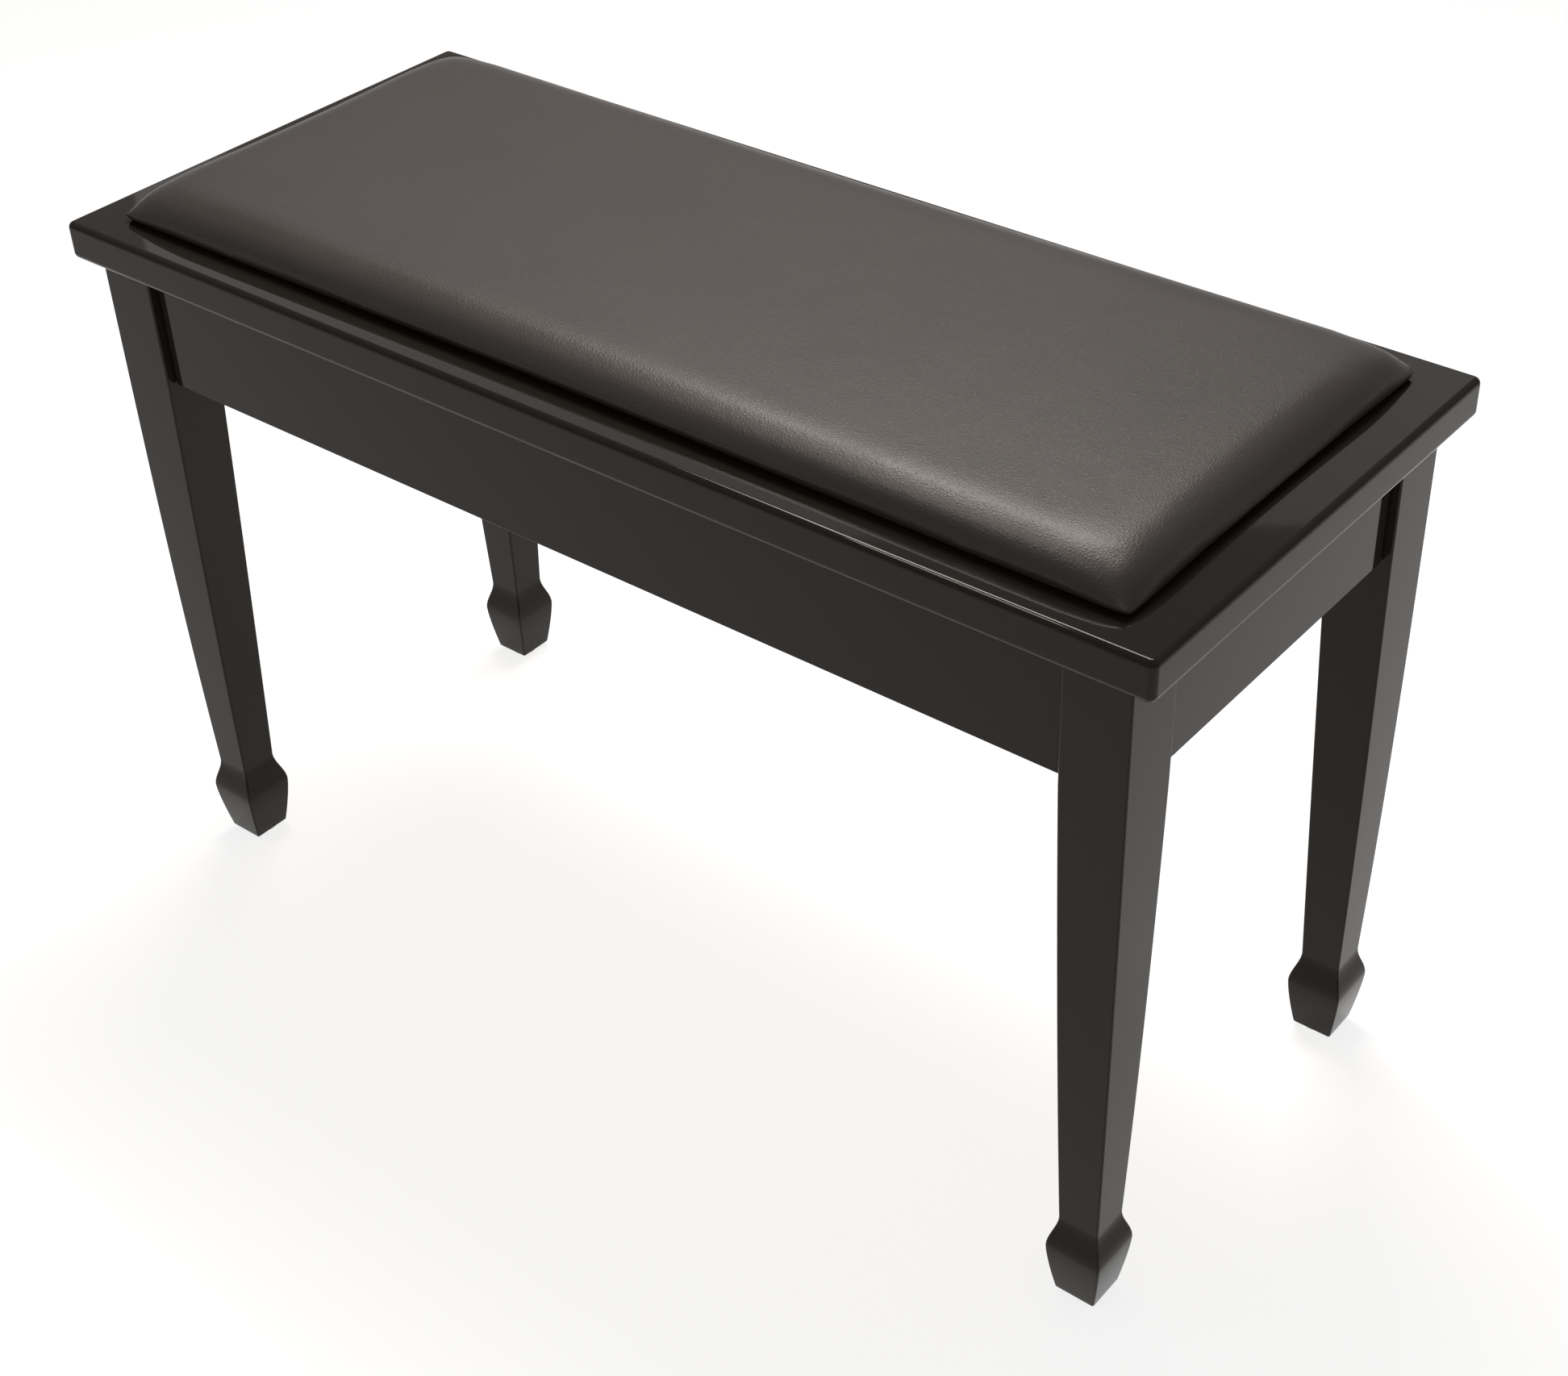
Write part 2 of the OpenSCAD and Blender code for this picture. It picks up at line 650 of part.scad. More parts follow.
// Cylinder along +X from x0 to x1
module bar(x0, x1, r) {
    translate([x0, 0, 0]) rotate([0, 90, 0]) cylinder(h = x1 - x0, r = r);
}
rail_screw_d = 2.4;
rail_screw_head = 4.6;
rail_screw_l = 10;
module rail_screw(c = 0) {
    screw(rail_screw_d, rail_screw_head, rail_screw_l, c);
}
module rail_screw_places() {
    for (t = [0.12, 0.5, 0.88])
        along(rail_angle) translate([end_in_x - rail_t, -mix(slot_in, slot_out, t), 0])
            rotate([0, 90, 0]) children();
}
module stay_rail() {
    slot_r = stud_d / 2 + slot_clear;
    color("silver")
    difference() {
        along(rail_angle) {
            difference() {
                translate([rail_x, -rail_out, -rail_w / 2]) cube([rail_d, rail_out - rail_in, rail_w]);
                translate([rail_x + rail_t, -rail_out - cut, -rail_w / 2 + rail_t])
                    cube([rail_d - 2 * rail_t, rail_out - rail_in + 2 * cut, rail_w - 2 * rail_t]);
                translate([rail_x - cut, -slot_out + slot_r, -slot_r])
                    cube([rail_t + 2 * cut, slot_out - slot_in - 2 * slot_r, 2 * slot_r]);
                for (s = [slot_in + slot_r, slot_out - slot_r])
                    translate([0, -s, 0]) bar(rail_x - cut, rail_x + rail_t + cut, slot_r);
            }
        }
        rail_screw_places() rail_screw(hole_clear);
    }
}
module stay_arm() {
    color("silver")
    at_pivot()
        difference() {
            union() {
                bar(arm_x, arm_x + arm_t, arm_w / 2);
                translate([arm_x, -stay_r, -arm_w / 2]) cube([arm_t, stay_r, arm_w]);
                translate([0, -stay_r, 0]) bar(arm_x, arm_x + arm_t, arm_w / 2);
            }
            bar(arm_x - cut, arm_x + arm_t + cut, stud_d / 2 + hole_clear);
            translate([0, -stay_r, 0]) bar(arm_x - cut, arm_x + arm_t + cut, stud_d / 2 + hole_clear);
        }
}
// Headed stud riveted to the end of the arm, its head runs inside the rail
module stay_slider() {
    color("silver")
    at_pivot() translate([0, -stay_r, 0]) {
        bar(arm_x - rivet_head_t, arm_x, rivet_head_d / 2);
        bar(arm_x - eps, end_in_x - rail_t - slider_head_gap, stud_d / 2);
        bar(arm_x + arm_t, rail_x - run_gap, rivet_head_d / 2);
        bar(rail_x + rail_t + slider_head_gap, end_in_x - rail_t - slider_head_gap, slider_head_d / 2);
    }
}
module stay_pivot() {
    color("silver")
    at_pivot() {
        bar(ear_x - rivet_head_t, ear_x, rivet_head_d / 2);
        bar(ear_x - eps, arm_x + arm_t + arm_gap - run_gap, stud_d / 2);
        bar(arm_x + arm_t + rivet_gap, arm_x + arm_t + arm_gap - run_gap, rivet_head_d / 2);
    }
}
module stay_bracket() {
    color("silver")
    difference() {
        translate([0, pivot_y, pivot_z]) {
            difference() {
                union() {
                    bar(ear_x, ear_x + ear_t, arm_w / 2);
                    translate([ear_x, -arm_w / 2, 0]) cube([ear_t, arm_w, lid_low - pivot_z]);
                    translate([ear_x - flange_w, -flange_l / 2, lid_low - ear_t - pivot_z])
                        cube([flange_w + ear_t, flange_l, ear_t]);
                }
                bar(ear_x - cut, ear_x + ear_t + cut, stud_d / 2 + hole_clear);
            }
        }
        bracket_screw_places() small_screw(hole_clear);
    }
}
module rail_screws() {
    color("silver") for (k = [0, 1]) mirror([k, 0, 0]) rail_screw_places() rail_screw();
}
module bracket_screws() {
    color("silver") bracket_screw_places() small_screw();
}
module stay_rail_left() { mirror([1, 0, 0]) stay_rail(); }
module stay_rail_right() { stay_rail(); }
module stay_bracket_left() { mirror([1, 0, 0]) stay_bracket(); }
module stay_bracket_right() { stay_bracket(); }
module stay_pivot_left() { mirror([1, 0, 0]) stay_pivot(); }
module stay_pivot_right() { stay_pivot(); }
module stay_arm_left() { mirror([1, 0, 0]) stay_arm(); }
module stay_arm_right() { stay_arm(); }
module stay_slider_left() { mirror([1, 0, 0]) stay_slider(); }
module stay_slider_right() { stay_slider(); }

// ---------------------------------------------------------------- felts and glides
module lid_felts() {
    color("dimgray")
        for (sx = [-1, 1])
            translate([sx * (leg_x - leg_w / 2), -leg_y + leg_w / 2, rail_top])
                cylinder(h = lid_gap, r = felt_d / 2);
}
nail_head_d = 6;
nail_head_t = 1;
nail_d = 2.4;
nail_l = 16;
nail_in = 0.8;
// Centre of a foot on the floor
module glide_place() {
    translate([-leg_x + ankle_mid, -leg_y + ankle_mid, 0]) children();
}
module glide_nail(c = 0) {
    translate([0, 0, nail_in]) {
        cylinder(h = nail_head_t + c, r = nail_head_d / 2 + c);
        cylinder(h = nail_l + c, r = nail_d / 2 + c);
    }
}
module foot_glides() {
    color("ivory")
        each_corner() glide_place()
            difference() {
                cylinder(h = glide_t, r = glide_d / 2);
                glide_nail(hole_clear);
                translate([0, 0, -cut]) cylinder(h = nail_in + cut + eps, r = nail_head_d / 2 + hole_clear);
            }
}
module glide_nails() {
    color("silver") each_corner() glide_place() glide_nail();
}

lid_panel();
pad_board();
seat_foam();
seat_cover();
pad_screws();
apron_front();
apron_rear();
apron_left();
apron_right();
leg_front_left();
leg_front_right();
leg_rear_left();
leg_rear_right();
corner_block_front_left();
corner_block_front_right();
corner_block_rear_left();
corner_block_rear_right();
corner_block_screws();
hanger_bolts();
bolt_washers();
wing_nuts();
cleat_front();
cleat_rear();
cleat_left();
cleat_right();
floor_panel();
floor_screws();
hinge_leaf_lid();
hinge_leaf_apron();
hinge_pin();
hinge_screws_lid();
hinge_screws_apron();
stay_rail_left();
stay_rail_right();
rail_screws();
stay_bracket_left();
stay_bracket_right();
bracket_screws();
stay_pivot_left();
stay_pivot_right();
stay_arm_left();
stay_arm_right();
stay_slider_left();
stay_slider_right();
lid_felts();
foot_glides();
glide_nails();
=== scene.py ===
# %% [markdown]
# # A lacquered piano bench
# The bench is a long lacquered box on four tapered legs, with a padded lid that
# opens on a hinge along its back edge. The solids come from the CAD model and set
# every size and joint. This lesson dresses them: the lid, aprons and legs get eased
# edges that catch the light, the pad gets its stuffing, and each surface gets a finish.

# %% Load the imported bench
import json
import math

import bmesh
import bpy
from mathutils import Matrix, Vector


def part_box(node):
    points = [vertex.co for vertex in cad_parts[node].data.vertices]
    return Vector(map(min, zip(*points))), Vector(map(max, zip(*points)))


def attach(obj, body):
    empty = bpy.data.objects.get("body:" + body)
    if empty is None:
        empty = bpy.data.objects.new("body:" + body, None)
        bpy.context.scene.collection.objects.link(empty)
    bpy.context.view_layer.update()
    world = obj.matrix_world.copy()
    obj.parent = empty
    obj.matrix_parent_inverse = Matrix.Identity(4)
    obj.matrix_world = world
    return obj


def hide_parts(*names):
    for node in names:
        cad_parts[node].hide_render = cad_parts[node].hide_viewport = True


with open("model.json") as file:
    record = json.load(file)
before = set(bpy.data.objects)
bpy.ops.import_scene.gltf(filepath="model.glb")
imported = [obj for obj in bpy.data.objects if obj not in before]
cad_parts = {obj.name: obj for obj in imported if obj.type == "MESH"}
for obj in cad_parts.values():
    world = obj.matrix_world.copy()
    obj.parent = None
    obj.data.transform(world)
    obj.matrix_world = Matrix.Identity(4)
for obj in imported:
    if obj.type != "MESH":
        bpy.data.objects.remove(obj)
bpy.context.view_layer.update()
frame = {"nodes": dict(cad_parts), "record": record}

scene = bpy.context.scene

# %% [markdown]
# ## Camera
# A camera looks down its own -Z, so its place is easiest to give by three angles:
# how far it is walked round the bench, how high it is lifted, and a slight lean of
# the hand that held it. The lens is short, which is why the near foot looks long.
# The shift slides the picture on the sensor without turning the camera.

# %% Place the camera
walked_round = math.radians(38.65)
lifted = math.radians(38.06)
leaned = math.radians(-1.42)

away = Vector((math.sin(walked_round) * math.cos(lifted),
               -math.cos(walked_round) * math.cos(lifted), math.sin(lifted)))
level = Vector((math.cos(walked_round), math.sin(walked_round), 0))
upward = away.cross(level)
side = math.cos(leaned) * level + math.sin(leaned) * upward
top = math.cos(leaned) * upward - math.sin(leaned) * level

stand = Vector((0.9475, -1.0778, 1.2699))
bpy.ops.object.camera_add()
camera = bpy.context.object
turned_camera = Matrix((side, top, away)).transposed().to_4x4()
camera.matrix_world = Matrix.Translation(stand) @ turned_camera
camera.data.sensor_width = 36
camera.data.lens = 57.48
camera.data.shift_x = -0.0399
camera.data.shift_y = 0.0476
scene.camera = camera
print("camera at", [round(c, 2) for c in camera.location])

# %% [markdown]
# ## Selecting and shaping
# Edit mode works on whatever is selected, and the imported solids are selected when
# this starts, so every step first clears the selection. By hand you would click
# faces and edges. Here a small test on each one's place or direction picks them.

# %% Helpers for edit mode
hair = 1e-5   # points closer than this count as touching
mostly = 0.9  # the share of a direction that must lie along an axis


def select_only(pieces):
    bpy.ops.object.select_all(action="DESELECT")
    for piece in pieces:
        piece.select_set(True)
    bpy.context.view_layer.objects.active = pieces[0]


def alone(piece):
    select_only([piece])


def edit(piece):
    alone(piece)
    bpy.ops.object.mode_set(mode="EDIT")
    bpy.ops.mesh.select_all(action="DESELECT")


def leave_edit():
    bpy.ops.object.mode_set(mode="OBJECT")


def pick(kind, test):
    """Select the points, edges or faces that pass the test, and count them."""
    kinds = "verts", "edges", "faces"
    bpy.context.tool_settings.mesh_select_mode = [k == kind for k in kinds]
    shape = bmesh.from_edit_mesh(bpy.context.edit_object.data)
    shape.normal_update()
    chosen = [item for item in getattr(shape, kind) if test(item)]
    bpy.ops.mesh.select_all(action="DESELECT")
    for item in chosen:
        item.select_set(True)
    shape.select_flush_mode()
    bmesh.update_edit_mesh(bpy.context.edit_object.data)
    return len(chosen)


def runs_along(edge, axis):
    way = edge.verts[1].co - edge.verts[0].co
    return abs(way[axis]) > mostly * way.length


def lies_below(height):
    return lambda edge: all(v.co.z < height for v in edge.verts)


def lies_above(height):
    return lambda edge: all(v.co.z > height for v in edge.verts)


def apply_all(piece):
    alone(piece)
    for name in [m.name for m in piece.modifiers]:
        bpy.ops.object.modifier_apply(modifier=name)


def triangles(piece):
    return sum(len(f.vertices) - 2 for f in piece.data.polygons)


def between(a, b, t):
    return a + (b - a) * t


# %% [markdown]
# ## The workshop steps
# Boards are sawn square, their edges are eased, pockets are cut and the surface is
# polished. A bevel does the easing. A boolean modifier cuts with a cutter, which is
# then removed. Weighted normals keep the flat faces flat beside their rounded edges.

# %% Saw, ease, cut, join and polish
def settle():
    """Move the object's place and size into its mesh."""
    bpy.ops.object.transform_apply(location=True, rotation=True, scale=True)


def sawn_board(name, low, high):
    """A squared board between two corners, with its place in its mesh."""
    bpy.ops.object.select_all(action="DESELECT")
    bpy.ops.mesh.primitive_cube_add(size=1, location=(Vector(low) + Vector(high)) / 2)
    board = bpy.context.object
    board.name = board.data.name = name
    board.scale = Vector(high) - Vector(low)
    settle()
    return board


def ease(piece, radius, steps, test):
    """Round the edges that pass the test, as a router and sandpaper do."""
    edit(piece)
    count = pick("edges", test)
    bpy.ops.mesh.bevel(offset=radius, segments=steps, profile=0.5, affect="EDGES",
                       clamp_overlap=True)
    leave_edit()
    return count


def cut_with(piece, cutter):
    cut = piece.modifiers.new("cut", "BOOLEAN")
    cut.operation = "DIFFERENCE"
    cut.solver = "EXACT"
    cut.object = cutter
    apply_all(piece)
    bpy.data.objects.remove(cutter)


def join(pieces):
    select_only(pieces)
    bpy.ops.object.join()
    settle()
    return bpy.context.object


def polish(piece, angle=35):
    """Shade the rounded edges smooth and keep the flat faces flat."""
    alone(piece)
    bpy.ops.object.shade_smooth_by_angle(angle=math.radians(angle))
    flat = piece.modifiers.new("flat faces", "WEIGHTED_NORMAL")
    flat.keep_sharp = True
    flat.weight = 80
    apply_all(piece)


# %% [markdown]
# ## The lid board
# The lid is one thick board. Its four corners and lower edges are rounded more than
# its top edge. Rounding the upright corners first gives one unbroken loop round the
# top and one round the bottom, and each loop then takes its own bevel.

# %% Lid board
lid_low, lid_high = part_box("lid_panel")
corner_round = 0.005
lower_round = 0.0075
upper_round = 0.0044
near = 0.001

lid_board = sawn_board("lid_board", lid_low, lid_high)
ease(lid_board, corner_round, steps=6, test=lambda e: runs_along(e, 2))
ease(lid_board, lower_round, steps=7, test=lies_below(lid_low.z + near))
ease(lid_board, upper_round, steps=6, test=lies_above(lid_high.z - near))
print("lid board:", triangles(lid_board), "triangles")

# %% [markdown]
# Six screws hold the pad from below. Each head sits in a pocket bored into the
# underside. Short round cutters, joined into one, cut all the pockets at once.

# %% Pockets for the pad screws
pocket_wide = 0.0082
pocket_deep = 0.003
screw_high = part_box("pad_screws")[1]
pocket_x = screw_high.x - pocket_wide / 2
pocket_y = screw_high.y - pocket_wide / 2
cutters = []
for x in (-pocket_x, 0, pocket_x):
    for y in (-pocket_y, pocket_y):
        bpy.ops.mesh.primitive_cylinder_add(vertices=40, radius=pocket_wide / 2,
                                            depth=2 * pocket_deep, location=(x, y, lid_low.z))
        cutters.append(bpy.context.object)
cut_with(lid_board, join(cutters))
polish(lid_board)
print("pockets cut:", len(cutters))

# %% [markdown]
# ## Aprons
# Four boards close the box. Their outer faces stand a little behind the legs, so
# each leg keeps a thin line of light down its edge. The edges are only just broken.

# %% Four aprons
apron_round = 0.0009
aprons = []
for place in ("front", "rear", "left", "right"):
    apron = sawn_board("apron_board_" + place, *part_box("apron_" + place))
    along = 0 if place in ("front", "rear") else 1
    ease(apron, apron_round, steps=3, test=lambda e: runs_along(e, along))
    polish(apron)
    aprons.append(apron)
print("aprons:", [a.name for a in aprons])

# %% [markdown]
# ## Legs
# A leg is cut from one square block. It starts at the top, and each section below
# is made by extruding the end face down and scaling it about its own middle.
# The outer faces lean in a little, the inner faces lean in more, and near the floor
# the leg flares out to a spade-shaped foot. One leg is shaped, and the other three
# are mirrored copies.

# %% Section sizes of a leg
leg_low, leg_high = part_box("leg_front_left")
block_wide = 0.045
block_foot = 0.4129
ankle_height = 0.069
ridge_height = 0.0435
lean_outer = 0.0034
lean_inner = 0.0122
ankle_middle = (lean_outer + block_wide - lean_inner) / 2
ankle_half = (block_wide - lean_inner - lean_outer) / 2
ridge_half = 0.0203
toe_half = 0.0148
outer_curve, inner_curve, toe_curve = 2.5, 1.06, 1.35
shaft_steps, flare_steps, toe_steps = 18, 12, 8


def leg_sections():
    """Height, and the outer and inner face measured from the block's outer face."""
    for i in range(shaft_steps + 1):
        t = i / shaft_steps
        yield (between(block_foot, ankle_height, t), lean_outer * t ** outer_curve,
               block_wide - lean_inner * t ** inner_curve)
    for i in range(1, flare_steps + 1):
        t = i / flare_steps
        half = between(ankle_half, ridge_half, (1 - math.cos(math.pi * t)) / 2)
        yield between(ankle_height, ridge_height, t), ankle_middle - half, ankle_middle + half
    for i in range(1, toe_steps + 1):
        t = i / toe_steps
        half = between(ridge_half, toe_half, t ** toe_curve)
        yield between(ridge_height, leg_low.z, t), ankle_middle - half, ankle_middle + half


print("leg sections:", len(list(leg_sections())))

# %% Shape one leg
arris = 0.0014
toe_round = 0.0006

block_low = Vector((leg_low.x, leg_low.y, block_foot))
leg = sawn_board("leg_front_left_turned", block_low,
                 (leg_low.x + block_wide, leg_low.y + block_wide, leg_high.z))
edit(leg)
pick("faces", lambda f: f.normal.z < -mostly)
now_outer, now_inner, now_z = 0.0, block_wide, block_foot
for z, outer, inner in leg_sections():
    if z > now_z - hair:
        continue
    step = (outer + inner - now_outer - now_inner) / 2
    move = {"value": (step, step, z - now_z)}
    bpy.ops.mesh.extrude_region_move(TRANSFORM_OT_translate=move)
    centre = leg_low.x + (outer + inner) / 2, leg_low.y + (outer + inner) / 2, z
    grow = (inner - outer) / (now_inner - now_outer)
    bpy.ops.transform.resize(value=(grow, grow, 1), center_override=centre)
    now_outer, now_inner, now_z = outer, inner, z
leave_edit()
ease(leg, arris, steps=4, test=lambda e: not runs_along(e, 0) and not runs_along(e, 1))
ease(leg, toe_round, steps=2, test=lies_below(leg_low.z + hair))
print("leg:", triangles(leg), "triangles")

# %% [markdown]
# The inner corner of the block is planed to a flat, where the corner block and its
# bolt pull up against it. A box turned by 45 degrees cuts it. The shading is set on
# each leg after it is mirrored, because stored normals don't survive a mirror.

# %% Flat on the inner corner, then the other legs
flat_deep = 0.008
box_half = 0.03
apron_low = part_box("apron_front")[0]
inner_corner = Vector((leg_low.x + block_wide, leg_low.y + block_wide, 0))
plane_box = sawn_board("plane_box", (-box_half, -box_half, apron_low.z),
                       (box_half, box_half, leg_high.z + 0.01))
plane_box.rotation_euler.z = math.radians(45)
back_off = box_half / math.sqrt(2) - flat_deep / 2
plane_box.location = inner_corner + Vector((1, 1, 0)) * back_off
cut_with(leg, plane_box)


def mirrored(piece, name, flip_x, flip_y):
    """A copy with its own mesh, mirrored in place, its faces turned outwards again."""
    alone(piece)
    bpy.ops.object.duplicate()
    copy = bpy.context.object
    copy.name = copy.data.name = name
    bpy.ops.object.mode_set(mode="EDIT")
    bpy.ops.mesh.select_all(action="SELECT")
    bpy.ops.transform.resize(value=(-1 if flip_x else 1, -1 if flip_y else 1, 1),
                             center_override=(0, 0, 0))
    if flip_x != flip_y:
        bpy.ops.mesh.flip_normals()
    leave_edit()
    return copy


legs = {"front_left": leg}
for place, flip_x, flip_y in (("front_right", True, False), ("rear_left", False, True),
                              ("rear_right", True, True)):
    legs[place] = mirrored(leg, "leg_" + place + "_turned", flip_x, flip_y)
for turned in legs.values():
    polish(turned, angle=30)
print("legs:", sorted(legs))

# %% [markdown]
# ## The pad
# The pad is foam on a board, with a vinyl cover pulled down over it and stapled
# underneath. Its edge is rolled and tucked in, its sides rise in a rounded slope, and
# its top is nearly flat. The cover pulls hardest between its corners, so a scale with
# proportional editing first draws the middles of the sides in. Then the shape is
# lifted ring by ring from its foot, as an ellipse seen from the side.

# %% Lift the pad ring by ring
pad_low, pad_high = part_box("seat_cover")
pad_half = Vector((pad_high.x, pad_high.y))
tuck = 0.004
roll_height = 0.006
slope_wide = 0.035
slope_steps = 12
swell = 0.0008
pull_in = 0.0028
pull_reach = 0.9
side_middle, end_middle = 0.03, 0.015
sheet_thick = 0.0005


def pull_sides(test, scale, reach):
    """Draw in the points that pass the test, and their neighbours less and less."""
    pick("verts", test)
    bpy.ops.transform.resize(
        value=scale, center_override=(0, 0, 0), use_proportional_edit=True,
        proportional_edit_falloff="SMOOTH", proportional_size=pull_reach * reach)


# Each ring is a height above the foot and an inset from the pad's outline.
rings = [(0.0022, 0.0015), (roll_height - 0.001, 0.0)]
for i in range(1, slope_steps + 1):
    a = math.radians(90 * i / slope_steps)
    rings.append((between(roll_height, pad_high.z - pad_low.z - swell, math.sin(a)),
                  slope_wide * (1 - math.cos(a))))

now = Vector((pad_half.x - tuck, pad_half.y - tuck, pad_low.z + sheet_thick))
pad = sawn_board("seat_pad", (-pad_half.x + tuck, -pad_half.y + tuck, pad_low.z), now)
edit(pad)
pick("edges", lambda e: runs_along(e, 0) or runs_along(e, 1))
bpy.ops.mesh.subdivide(number_cuts=16)
pull_sides(lambda v: abs(v.co.x) < side_middle, (1, 1 - pull_in / pad_half.y, 1), pad_half.x)
pull_sides(lambda v: abs(v.co.y) < end_middle, (1 - pull_in / pad_half.x, 1, 1), pad_half.y)
pick("faces", lambda f: f.normal.z > mostly)
for height, inset in rings:
    half_x, half_y, z = pad_half.x - inset, pad_half.y - inset, pad_low.z + height
    grow = half_x / now.x, half_y / now.y, 1
    bpy.ops.mesh.extrude_region_move(TRANSFORM_OT_translate={"value": (0, 0, z - now.z)})
    bpy.ops.transform.resize(value=grow, center_override=(0, 0, z))
    now = Vector((half_x, half_y, z))
leave_edit()
print("pad:", [round(2 * c, 3) for c in now.xy], "flat top, m")

# %% [markdown]
# Cloth simulation stuffs the cover. The voxel remesh gives even quads. Smooth
# modifiers then soften the slope a little and the mitres much more, above the tucked
# edge, because foam doesn't fill a sharp corner. The foot is pinned where the staples
# are. The cloth shrinks a little, which keeps it taut, while pressure swells it. The
# cap keeps any point from moving further than firm foam would let it.

# %% Steps that stuff and soften the cover
fade_in = 0.008
mitre_wide = 0.045


def stuff(cover, pressure, frames, cap, pinned_below):
    """Blow the cover up, and count the points that the cap held back."""
    start = [v.co.copy() for v in cover.data.vertices]
    pins = cover.vertex_groups.new(name="stapled")
    pins.add([v.index for v in cover.data.vertices if v.co.z < pinned_below], 1.0, "REPLACE")
    cloth = cover.modifiers.new("stuffing", "CLOTH")
    cloth.settings.vertex_group_mass = "stapled"
    cloth.settings.use_pressure = True
    cloth.settings.uniform_pressure_force = pressure
    cloth.settings.effector_weights.gravity = 0
    cloth.settings.shrink_min = 0.02
    cloth.point_cache.frame_start = 1
    cloth.point_cache.frame_end = frames
    for f in range(1, frames + 1):
        scene.frame_set(f)
    apply_all(cover)
    held = 0
    for v, was in zip(cover.data.vertices, start):
        move = v.co - was
        if move.length > cap:
            v.co = was + move * (cap / move.length)
            held += 1
    scene.frame_set(1)
    return held


def soften(cover, name, share, times):
    """Smooth the cover where share(point) is above nothing, and not below the roll."""
    group = cover.vertex_groups.new(name=name)
    for v in cover.data.vertices:
        above = min(max((v.co.z - pad_low.z - roll_height) / fade_in, 0.0), 1.0)
        group.add([v.index], above * share(v.co), "REPLACE")
    smooth = cover.modifiers.new(name, "SMOOTH")
    smooth.factor = 0.5
    smooth.iterations = times
    smooth.vertex_group = name
    apply_all(cover)


def near_mitre(point):
    off = abs((pad_half.x - abs(point.x)) - (pad_half.y - abs(point.y)))
    return max(1 - off / mitre_wide, 0.0)


# %% Stuff the cover
voxels = pad.modifiers.new("voxels", "REMESH")
voxels.mode = "VOXEL"
voxels.voxel_size = 0.0048
apply_all(pad)
soften(pad, "slopes", lambda point: 1.0, times=5)
soften(pad, "mitres", near_mitre, times=60)
held = stuff(pad, pressure=3, frames=20, cap=0.0015, pinned_below=pad_low.z + 0.004)
print("points of the cover held back by the cap:", held)
finer = pad.modifiers.new("finer", "SUBSURF")
finer.levels = finer.render_levels = 1
apply_all(pad)
alone(pad)
bpy.ops.object.shade_smooth()
print("pad:", triangles(pad), "triangles")

# %% [markdown]
# ## Felt buttons
# Two felt buttons on the front legs keep the lid from knocking. Felt is cut with a
# punch, so its rim is soft. A cylinder with a bevelled rim does it.

# %% Felts
felt_low, felt_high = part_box("lid_felts")
felt_wide = 0.014
felt_round = 0.0004
felt_middle = (felt_low + felt_high) / 2
felts = []
for name, x in (("felt_left", felt_low.x + felt_wide / 2),
                ("felt_right", felt_high.x - felt_wide / 2)):
    bpy.ops.mesh.primitive_cylinder_add(
        vertices=48, radius=felt_wide / 2, depth=felt_high.z - felt_low.z,
        location=(x, felt_middle.y, felt_middle.z))
    felt = bpy.context.object
    felt.name = felt.data.name = name
    settle()
    ease(felt, felt_round, steps=3, test=lies_above(felt_high.z - hair))
    polish(felt, angle=40)
    felts.append(felt)
print("felts:", len(felts))

# %% [markdown]
# ## Screws
# The solid screws have plain heads. A copy of each set is split into single screws,
# only to measure where each head is, which way it faces and how wide and long the
# screw is. One screw of each size is then modelled with a cross cut into its head, and
# its copies are turned to different angles, as a screwdriver leaves them.

# %% Measure the screws
def measured_screws(node):
    """Head centre, way out, head width, shank width and length of each screw."""
    alone(frame["nodes"][node])
    bpy.ops.object.duplicate()
    bpy.ops.object.mode_set(mode="EDIT")
    bpy.ops.mesh.select_all(action="SELECT")
    bpy.ops.mesh.remove_doubles(threshold=hair)
    bpy.ops.mesh.separate(type="LOOSE")
    leave_edit()
    found = []
    for single in list(bpy.context.selected_objects):
        points = [v.co.copy() for v in single.data.vertices]
        bpy.data.objects.remove(single)
        spans = [(min(p[i] for p in points), max(p[i] for p in points)) for i in range(3)]
        axis = max(range(3), key=lambda i: spans[i][1] - spans[i][0])
        ends = [[p for p in points if abs(p[axis] - at) < hair] for at in spans[axis]]
        wide = [max((p - end[0]).length for p in end) for end in ends]
        length = spans[axis][1] - spans[axis][0]
        head = 0 if wide[0] > wide[1] else 1
        outward = Vector((0, 0, 0))
        outward[axis] = 2 * head - 1
        centre = sum(ends[head], Vector()) / len(ends[head])
        found.append((centre, outward, wide[head], wide[1 - head], length))
    return sorted(found, key=lambda screw: tuple(screw[0]))


# %% Model a screw
blade_share = Vector((0.62, 0.13, 0.40))
tip_share = 0.2
rim_share = 0.02


